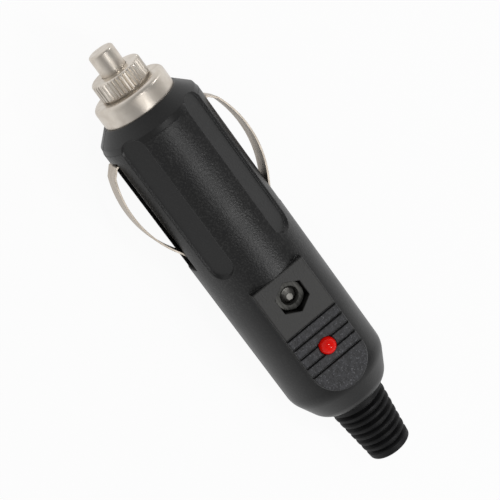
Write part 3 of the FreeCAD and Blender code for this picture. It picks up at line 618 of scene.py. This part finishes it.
class Workbench:
    """Modelling steps that several sub-assemblies share."""

    @staticmethod
    def clear_selection() -> None:
        """Deselect everything, so that the next step acts on its own piece alone."""
        bpy.ops.object.select_all(action="DESELECT")

    @staticmethod
    def take(piece: bpy.types.Object) -> None:
        """Select one piece alone and make it the active one.

        Args:
            piece: The piece.
        """
        Workbench.clear_selection()
        piece.select_set(True)
        bpy.context.view_layer.objects.active = piece

    @staticmethod
    def pick(piece: bpy.types.Object, wanted: Callable[[Vector], bool]) -> None:
        """Go into edit mode with only some vertices selected.

        Args:
            piece: The piece.
            wanted: Says of a vertex's place whether it is selected.
        """
        Workbench.take(piece)
        bpy.ops.object.mode_set(mode="EDIT")
        bpy.ops.mesh.select_mode(type="VERT")
        bpy.ops.mesh.select_all(action="DESELECT")
        bpy.ops.object.mode_set(mode="OBJECT")
        for vertex in piece.data.vertices:
            vertex.select = wanted(vertex.co)
        bpy.ops.object.mode_set(mode="EDIT")

    @staticmethod
    def settle(piece: bpy.types.Object) -> None:
        """Move a piece's place into its mesh and smooth its round faces.

        Args:
            piece: The piece.
        """
        Workbench.take(piece)
        bpy.ops.object.transform_apply(location=True, rotation=True, scale=True)
        bpy.ops.object.shade_smooth_by_angle(angle=SMOOTH_ANGLE)

    @staticmethod
    def close_mesh() -> None:
        """Merge the doubles of the mesh in edit mode and turn its faces outwards."""
        bpy.ops.mesh.select_all(action="SELECT")
        bpy.ops.mesh.remove_doubles(threshold=MERGE_REACH)
        bpy.ops.mesh.normals_make_consistent(inside=False)

    @staticmethod
    def lathe(name: str, profile: Profile, turn: Turn, centre: Vector,
              facets: int) -> bpy.types.Object:
        """Draw a half section point by point and spin it.

        Args:
            name: Name of the piece.
            profile: Places along the turning line and distances out from it, in metres.
            turn: Line to turn about.
            centre: Point of that line that the places are measured from.
            facets: Steps around.

        Returns:
            The turned piece, with its place in its mesh.
        """
        line = Vector(turn.value)
        out = Vector((0.0, 0.0, 1.0)) if turn is Turn.PLUG_AXIS else Vector((1.0, 0.0, 0.0))
        points = [centre + line * along + out * distance for along, distance in profile]
        Workbench.clear_selection()
        bpy.ops.mesh.primitive_plane_add(size=MM, location=points[0])
        piece = bpy.context.object
        piece.name = name
        bpy.ops.object.mode_set(mode="EDIT")
        bpy.ops.mesh.select_all(action="SELECT")
        bpy.ops.mesh.merge(type="CENTER")
        for start, end in zip(points, points[1:]):
            bpy.ops.mesh.extrude_vertices_move(TRANSFORM_OT_translate={"value": end - start})
        bpy.ops.mesh.select_all(action="SELECT")
        bpy.ops.mesh.spin(steps=facets, angle=math.tau, center=centre, axis=line)
        Workbench.close_mesh()
        bpy.ops.object.mode_set(mode="OBJECT")
        Workbench.settle(piece)
        return piece

    @staticmethod
    def carve(piece: bpy.types.Object, tool: bpy.types.Object, way: Carving) -> None:
        """Cut or trim a piece with a tool piece, and remove the tool.

        Args:
            piece: The piece.
            tool: The piece that shapes it.
            way: Whether the tool's space is cut away or kept.
        """
        Workbench.take(piece)
        step = piece.modifiers.new(way.name.lower(), "BOOLEAN")
        step.operation = way.value
        step.solver = "EXACT"
        step.object = tool
        bpy.ops.object.modifier_apply(modifier=step.name)
        bpy.data.objects.remove(tool, do_unlink=True)

    @staticmethod
    def copy_beside(piece: bpy.types.Object, name: str, offset: Vector) -> bpy.types.Object:
        """Copy a piece with its own mesh.

        Args:
            piece: The piece.
            name: Name of the copy.
            offset: How far the copy is moved.

        Returns:
            The copy, with its place in its mesh.
        """
        Workbench.take(piece)
        bpy.ops.object.duplicate(linked=False)
        copy = bpy.context.object
        copy.name = name
        bpy.ops.transform.translate(value=offset)
        bpy.ops.object.transform_apply(location=True, rotation=True, scale=True)
        return copy


@dataclass
class RibbedBoot:
    """Tapered rubber boot with soft rounded rings, its neck and its inner flange."""

    base_x: float = NOSE_X - 69.4 * MM
    length: float = 13.297 * MM
    base_radius: float = 5.77 * MM
    taper: float = 1.5 * MM
    end_edge: float = 0.5 * MM
    bore: float = 2.6 * MM
    bore_edge: float = 0.2 * MM
    neck_radius: float = 4.02 * MM
    neck_length: float = 1.7 * MM
    flange_radius: float = 5.22 * MM
    flange_thick: float = 1.6 * MM
    ring_count: int = 7
    ring_first: float = 1.6 * MM
    ring_last: float = 1.98 * MM
    ring_depth: float = 0.74 * MM
    ring_share: float = 0.36
    points_per_ring: int = 12
    edge_points: int = 5
    facets: int = 72

    def radius_at(self, along: float) -> float:
        """Give the boot's outer radius, which dips at each ring's groove.

        Args:
            along: Distance from the boot's base.

        Returns:
            The radius there.
        """
        pitch = (self.length - self.ring_first - self.ring_last) / (self.ring_count - 1)
        place = (along - self.ring_first) / pitch
        nearest = min(max(round(place), 0), self.ring_count - 1)
        offset = min(abs(place - nearest) / self.ring_share, 1.0)
        dip = self.ring_depth * 0.5 * (1.0 + math.cos(math.pi * offset))
        return self.base_radius - self.taper * along / self.length - dip

    def profile(self) -> Profile:
        """Draw the half section, from the flange inside the handle round to the bore.

        Returns:
            Its points, as places along the plug from the boot's base and radii.
        """
        neck, flange = self.neck_length, self.neck_length + self.flange_thick
        points = [(flange, self.bore), (flange, self.flange_radius), (neck, self.flange_radius),
                  (neck, self.neck_radius), (0.0, self.neck_radius)]
        straight = self.length - self.end_edge
        count = self.ring_count * self.points_per_ring
        points += [(-along, self.radius_at(along))
                   for along in (straight * step / count for step in range(count + 1))]
        rim = self.radius_at(straight) - self.end_edge
        for step in range(1, self.edge_points + 1):
            angle = 0.5 * math.pi * step / self.edge_points
            points.append((-straight - self.end_edge * math.sin(angle),
                           rim + self.end_edge * math.cos(angle)))
        return points + [(-self.length, self.bore + self.bore_edge),
                         (-self.length + self.bore_edge, self.bore), (flange, self.bore)]

    def build(self, finishes: Finishes) -> None:
        """Turn the boot and put it in place of the plain solid.

        Args:
            finishes: The plug's materials.
        """
        boot = Workbench.lathe("ribbed_boot", self.profile(), Turn.PLUG_AXIS,
                               Vector((self.base_x, 0.0, AXIS_Z)), self.facets)
        hand_over(boot, finishes.rubber, "strain_relief")


@dataclass
class IndicatorLamp:
    """Red domed lamp with a collar under the grip pad and two wire legs to the board."""

    x: float = NOSE_X - 54.0 * MM
    radius: float = 1.65 * MM
    top: float = 22.4 * MM
    collar_radius: float = 1.95 * MM
    collar_top: float = 17.95 * MM
    collar_thick: float = 0.8 * MM
    collar_rim: float = 0.12 * MM
    dome_points: int = 10
    lens_facets: int = 48
    board_top: float = 10.95 * MM
    leg_radius: float = 0.25 * MM
    leg_offset: float = 0.9 * MM
    leg_in_lens: float = 0.2 * MM
    leg_facets: int = 16
    solder_radius: float = 0.45 * MM
    solder_height: float = 0.5 * MM
    solder_hollow: float = 0.05 * MM

    def build(self, finishes: Finishes) -> None:
        """Turn the lens and the legs and put them in place of the plain solid.

        Args:
            finishes: The plug's materials.
        """
        foot = self.collar_top - self.collar_thick
        lens = self.make_lens(foot)
        hand_over(lens, finishes.lens, "indicator_lamp")
        front = self.make_leg(foot + self.leg_in_lens)
        back = Workbench.copy_beside(front, "lamp_back_leg",
                                     Vector((-2.0 * self.leg_offset, 0.0, 0.0)))
        for leg in (front, back):
            hand_over(leg, finishes.zinc, "indicator_lamp")

    def make_lens(self, foot: float) -> bpy.types.Object:
        """Turn the domed lens with its collar.

        Args:
            foot: Height of the collar's underside.

        Returns:
            The lens.
        """
        rim, centre = self.collar_rim, self.top - self.radius
        profile = [(foot, 0.0), (foot, self.collar_radius - rim), (foot + rim, self.collar_radius),
                   (self.collar_top - rim, self.collar_radius),
                   (self.collar_top, self.collar_radius - rim), (self.collar_top, self.radius)]
        for step in range(self.dome_points + 1):
            angle = 0.5 * math.pi * step / self.dome_points
            profile.append((centre + self.radius * math.sin(angle), self.radius * math.cos(angle)))
        return Workbench.lathe("lamp_lens", profile, Turn.UPRIGHT, Vector((self.x, 0.0, 0.0)),
                               self.lens_facets)

    def make_leg(self, top: float) -> bpy.types.Object:
        """Turn the front wire leg with its solder cone on the board.

        Args:
            top: Height of the leg's upper end.

        Returns:
            The leg.
        """
        shoulder = self.board_top + 0.5 * self.solder_height
        waist = 0.5 * (self.solder_radius + self.leg_radius) - self.solder_hollow
        return Workbench.lathe("lamp_front_leg", [
            (self.board_top, 0.0), (self.board_top, self.solder_radius), (shoulder, waist),
            (self.board_top + self.solder_height, self.leg_radius), (top, self.leg_radius),
            (top, 0.0),
        ], Turn.UPRIGHT, Vector((self.x + self.leg_offset, 0.0, 0.0)), self.leg_facets)


@dataclass
class ShellFastener:
    """Screw that clamps the shells and the black nut that it ends in."""

    x: float = NOSE_X - 42.4 * MM
    nut_across: float = 5.5 * MM
    nut_top: float = 19.3 * MM
    nut_height: float = 2.4 * MM
    nut_turn: float = math.radians(30.0)
    nut_chamfer: float = 0.35 * MM
    nut_face_share: float = 0.49
    nut_blank_share: float = 1.02
    nut_facets: int = 96
    mouth_radius: float = 1.8 * MM
    crest_radius: float = 1.52 * MM
    root_radius: float = 1.70 * MM
    thread_pitch: float = 0.5 * MM
    thread_length: float = 5.0 * MM
    thread_facets: int = 48
    screw_radius: float = 1.5 * MM
    screw_root: float = 1.28 * MM
    screw_tip: float = 18.8 * MM
    tip_length: float = 0.35 * MM
    tip_radius: float = 0.62 * MM
    tip_shift: float = 0.42 * MM
    head_bottom: float = 0.5 * MM
    head_height: float = 1.8 * MM
    head_radius: float = 2.75 * MM
    head_edge: float = 0.35 * MM
    crown_inset: float = 0.56 * MM
    crown_rise: float = 0.105 * MM
    crown_step: float = 0.21 * MM
    sharp_edge: float = 0.07 * MM
    slot_length: float = 3.4 * MM
    slot_width: float = 0.9 * MM
    slot_depth: float = 0.9 * MM
    slot_taper: float = 0.8
    tool_margin: float = 0.2 * MM

    def threads(self, start: float, end: float, low: float, high: float) -> Profile:
        """Draw the zigzag of a thread, from and to its low radius.

        Args:
            start: Height of its lower end.
            end: Height of its upper end.
            low: Radius at its ends and between its turns.
            high: Radius in the middle of each turn.

        Returns:
            Its points, as heights and radii.
        """
        count = max(round((end - start) / self.thread_pitch), 1)
        pitch = (end - start) / count
        points: Profile = []
        for turn in range(count):
            points += [(start + turn * pitch, low), (start + (turn + 0.5) * pitch, high)]
        return points + [(end, low)]

    def build(self, finishes: Finishes) -> None:
        """Make both pieces and put them in place of the plain solids."""
        hand_over(self.make_nut(), finishes.black_steel, "shell_nut")
        hand_over(self.make_screw(), finishes.zinc, "shell_screw")

    def make_nut(self) -> bpy.types.Object:
        """Shape the hexagon, chamfer its corners and cut its threaded bore.

        Returns:
            The nut.
        """
        floor, axis = self.nut_top - self.nut_height, Vector((self.x, 0.0, 0.0))
        corner = self.nut_across / math.sqrt(3.0)
        Workbench.clear_selection()
        bpy.ops.mesh.primitive_cylinder_add(
            vertices=6, radius=corner, depth=self.nut_height,
            location=(self.x, 0.0, self.nut_top - 0.5 * self.nut_height),
            rotation=(0.0, 0.0, self.nut_turn))
        nut = bpy.context.object
        nut.name = "hexagon_nut"
        flat, wide = self.nut_face_share * self.nut_across, self.nut_blank_share * corner
        blank = Workbench.lathe("nut_blank", [
            (floor, 0.0), (floor, flat), (floor + self.nut_chamfer, wide),
            (self.nut_top - self.nut_chamfer, wide), (self.nut_top, flat), (self.nut_top, 0.0),
        ], Turn.UPRIGHT, axis, self.nut_facets)
        Workbench.carve(nut, blank, Carving.TRIM)
        mouth = self.mouth_radius - self.crest_radius
        below, above = floor - self.tool_margin, self.nut_top + self.tool_margin
        tap = Workbench.lathe("nut_tap", [
            (below, 0.0), (below, self.crest_radius),
            *self.threads(floor, self.nut_top - mouth, self.crest_radius, self.root_radius),
            (self.nut_top, self.mouth_radius), (above, self.mouth_radius), (above, 0.0),
        ], Turn.UPRIGHT, axis, self.thread_facets)
        Workbench.carve(nut, tap, Carving.CUT)
        Workbench.settle(nut)
        return nut

    def make_screw(self) -> bpy.types.Object:
        """Turn the screw with its thread, and cut the cross into its head.

        Returns:
            The screw.
        """
        seat = self.head_bottom + self.head_height
        thread_start = self.screw_tip - self.thread_length
        screw = Workbench.lathe("clamp_screw", [
            (self.head_bottom, 0.0), (self.head_bottom, self.head_radius - self.crown_inset),
            (self.head_bottom + self.crown_rise, self.head_radius - self.crown_step),
            (self.head_bottom + self.head_edge, self.head_radius),
            (seat - self.sharp_edge, self.head_radius),
            (seat, self.head_radius - self.sharp_edge), (seat, self.screw_radius),
            (thread_start - 0.5 * self.thread_pitch, self.screw_radius),
            *self.threads(thread_start, self.screw_tip - self.tip_length, self.screw_root,
                          self.screw_radius),
            (self.screw_tip - self.sharp_edge, self.tip_radius + self.sharp_edge),
            (self.screw_tip, self.tip_radius), (self.screw_tip, 0.0),
        ], Turn.UPRIGHT, Vector((self.x, 0.0, 0.0)), self.thread_facets)
        Workbench.pick(screw, lambda place: place.z > self.screw_tip - 0.5 * self.tip_length)
        bpy.ops.transform.translate(value=(-self.tip_shift, 0.0, 0.0))
        bpy.ops.object.mode_set(mode="OBJECT")
        for width, length in ((self.slot_length, self.slot_width),
                              (self.slot_width, self.slot_length)):
            Workbench.carve(screw, self.make_slot_tool(width, length), Carving.CUT)
        Workbench.settle(screw)
        return screw

    def make_slot_tool(self, width: float, length: float) -> bpy.types.Object:
        """Make one bar of the cross, narrower at its bottom.

        Args:
            width: Its size along X.
            length: Its size along Y.

        Returns:
            The bar.
        """
        Workbench.clear_selection()
        bpy.ops.mesh.primitive_cube_add(size=1.0, location=(self.x, 0.0, self.head_bottom))
        tool = bpy.context.object
        tool.scale = (width, length, 2.0 * self.slot_depth)
        bpy.ops.object.transform_apply(location=False, rotation=False, scale=True)
        Workbench.pick(tool, lambda place: place.z > 0.0)
        bpy.ops.transform.resize(value=(self.slot_taper, self.slot_taper, 1.0))
        bpy.ops.object.mode_set(mode="OBJECT")
        return tool


@dataclass
class ContactCoil:
    """Round-wire coil spring behind the fuse, which in the plug shortens as the pin goes in; here
    it is wound at its full length.
    """

    back_x: float = 1.25 * MM
    length: float = 9.5 * MM
    radius: float = 2.6 * MM
    wire_radius: float = 0.35 * MM
    end_gap: float = 0.05 * MM
    turns: int = 6
    steps: int = 36
    wire_sides: int = 12
    travel: float = 2.5 * MM

    def build(self, finishes: Finishes) -> None:
        """Wind the coil about the plug's axis and put it in place of the plain solid.

        Args:
            finishes: The plug's materials.
        """
        inset = self.wire_radius + self.end_gap
        Workbench.clear_selection()
        bpy.ops.mesh.primitive_circle_add(
            vertices=self.wire_sides, radius=self.wire_radius, fill_type="NOTHING",
            location=(0.0, 0.0, 0.0), rotation=(0.5 * math.pi, 0.0, 0.0))
        coil = bpy.context.object
        coil.name = "round_wire_coil"
        bpy.ops.object.transform_apply(location=False, rotation=True, scale=False)
        bpy.ops.object.mode_set(mode="EDIT")
        bpy.ops.mesh.select_all(action="SELECT")
        bpy.ops.transform.translate(value=(0.0, 0.0, self.radius))
        bpy.ops.object.mode_set(mode="OBJECT")
        wind = coil.modifiers.new("wind", "SCREW")
        wind.axis = "X"
        wind.angle = math.tau
        wind.screw_offset = (self.length - 2.0 * inset) / self.turns
        wind.iterations = self.turns
        wind.steps = wind.render_steps = self.steps
        wind.use_merge_vertices = False
        bpy.ops.object.modifier_apply(modifier=wind.name)
        bpy.ops.object.mode_set(mode="EDIT")
        bpy.ops.mesh.select_all(action="SELECT")
        bpy.ops.mesh.fill_holes(sides=self.wire_sides)
        Workbench.close_mesh()
        bpy.ops.transform.translate(value=(self.back_x + inset, 0.0, AXIS_Z))
        bpy.ops.object.mode_set(mode="OBJECT")
        Workbench.settle(coil)
        hand_over(coil, finishes.zinc, "contact_spring")
        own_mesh(coil)


@dataclass(frozen=True)
class SoftLamp:
    """A rectangular soft lamp that faces the plug, with its size in metres and its watts."""

    name: str
    place: Triple
    size: Span = (0.08, 0.08)
    watts: float = 0.6

    def hang(self) -> None:
        """Hang the lamp at its place."""
        data = bpy.data.lights.new(self.name, "AREA")
        data.shape = "RECTANGLE"
        data.size, data.size_y = self.size
        data.energy = self.watts
        lamp = bpy.data.objects.new(self.name, data)
        bpy.context.scene.collection.objects.link(lamp)
        lamp.location = self.place
        aim = Vector((0.0, 0.0, AXIS_Z)) - Vector(self.place)
        lamp.rotation_euler = aim.to_track_quat("-Z", "Y").to_euler()


@dataclass
class Studio:
    """Pale floor, soft lamps and the camera at the photograph's angle."""

    floor_half: float = 1.2
    floor_colour: Colour = (0.88, 0.88, 0.88)
    floor_glow: float = 1.0
    floor_share: float = 0.94
    mirror_share: float = 0.74
    near_light: float = 0.75
    far_light: float = 0.27
    near_reach: float = -0.25
    far_reach: float = 0.95
    light_side: Triple = (0.0, -0.28, 1.0)
    lamps: tuple[SoftLamp, ...] = (
        SoftLamp("overhead", (-0.235, -0.130, 0.56), size=(0.18, 0.46), watts=0.74),
        SoftLamp("front_spot", (0.221, -0.157, 0.760)),
        SoftLamp("side_spot", (0.172, -0.744, 0.252)),
        SoftLamp("rear_spot", (-0.465, -0.301, 0.588)))
    camera_place: Triple = (0.12131, 0.04766, 0.33645)
    camera_right: Triple = (-0.5577147, -0.7664036, 0.3187158)
    camera_up: Triple = (0.7560347, -0.6275355, -0.1860396)
    lens: float = 138.93
    sensor: float = 36.0

    def build(self) -> None:
        """Make the floor, the world, the lamps and the camera."""
        bpy.context.scene.view_settings.view_transform = "Standard"
        self.lay_floor()
        self.light_world()
        for lamp in self.lamps:
            lamp.hang()
        self.set_camera()

    def lay_floor(self) -> None:
        """Lay the pale floor that the plug lies on."""
        Workbench.clear_selection()
        bpy.ops.mesh.primitive_plane_add(size=2.0 * self.floor_half, location=(0.0, 0.0, 0.0))
        floor = bpy.context.object
        floor.name = "floor"
        sheet = NodeSheet("pale_floor")
        path = sheet.add("ShaderNodeLightPath").outputs
        seen = sheet.maths("MULTIPLY", path["Is Camera Ray"], self.floor_share)
        mirrored = sheet.maths("MAXIMUM", path["Is Glossy Ray"], path["Is Transmission Ray"])
        mirrored = sheet.maths("MULTIPLY", mirrored, self.mirror_share)
        glow = sheet.add("ShaderNodeEmission", {
            "Color": (1.0, 1.0, 1.0, 1.0), "Strength": self.floor_glow})
        lit = sheet.add("ShaderNodeBsdfDiffuse", {"Color": (*self.floor_colour, 1.0)})
        mix = sheet.add("ShaderNodeMixShader", {
            "Fac": sheet.maths("MAXIMUM", seen, mirrored)})
        sheet.feed(mix.inputs[1], lit.outputs["BSDF"])
        sheet.feed(mix.inputs[2], glow.outputs["Emission"])
        sheet.feed(sheet.output.inputs["Surface"], mix.outputs["Shader"])
        floor.data.materials.append(sheet.material)

    def light_world(self) -> None:
        """Light the room with a soft white that is brighter low down and to the plug's left."""
        world = bpy.data.worlds.new("studio")
        bpy.context.scene.world = world
        world.use_nodes = True
        tree = world.node_tree
        background = tree.nodes["Background"]
        background.inputs["Color"].default_value = (1.0, 1.0, 1.0, 1.0)
        way = tree.nodes.new("ShaderNodeTexCoord")
        reach = tree.nodes.new("ShaderNodeVectorMath")
        reach.operation = "DOT_PRODUCT"
        reach.inputs[1].default_value = self.light_side
        level = tree.nodes.new("ShaderNodeMapRange")
        level.interpolation_type = "SMOOTHSTEP"
        level.inputs["From Min"].default_value = self.near_reach
        level.inputs["From Max"].default_value = self.far_reach
        level.inputs["To Min"].default_value = self.near_light
        level.inputs["To Max"].default_value = self.far_light
        tree.links.new(way.outputs["Generated"], reach.inputs[0])
        tree.links.new(reach.outputs["Value"], level.inputs["Value"])
        path = tree.nodes.new("ShaderNodeLightPath")
        seen = tree.nodes.new("ShaderNodeMath")
        seen.operation = "MAXIMUM"
        tree.links.new(level.outputs["Result"], seen.inputs[0])
        tree.links.new(path.outputs["Is Camera Ray"], seen.inputs[1])
        tree.links.new(seen.outputs["Value"], background.inputs["Strength"])

    def set_camera(self) -> None:
        """Set the camera at the photograph's place, aim, turn and lens."""
        data = bpy.data.cameras.new("camera")
        data.sensor_width = self.sensor
        data.lens = self.lens
        camera = bpy.data.objects.new("camera", data)
        bpy.context.scene.collection.objects.link(camera)
        right, up = Vector(self.camera_right), Vector(self.camera_up)
        turn = Matrix((right, up, right.cross(up))).transposed()
        camera.matrix_world = Matrix.Translation(self.camera_place) @ turn.to_4x4()
        bpy.context.scene.camera = camera


def main() -> None:
    """Build the plug's looks and the studio."""
    logging.basicConfig(level=logging.INFO, format="%(message)s")
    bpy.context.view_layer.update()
    finishes = Finishes()
    finishes.dress_nodes()
    for assembly in (RibbedBoot(), IndicatorLamp(), ShellFastener(), ContactCoil()):
        assembly.build(finishes)
    Studio().build()


if __name__ == "__main__":
    main()
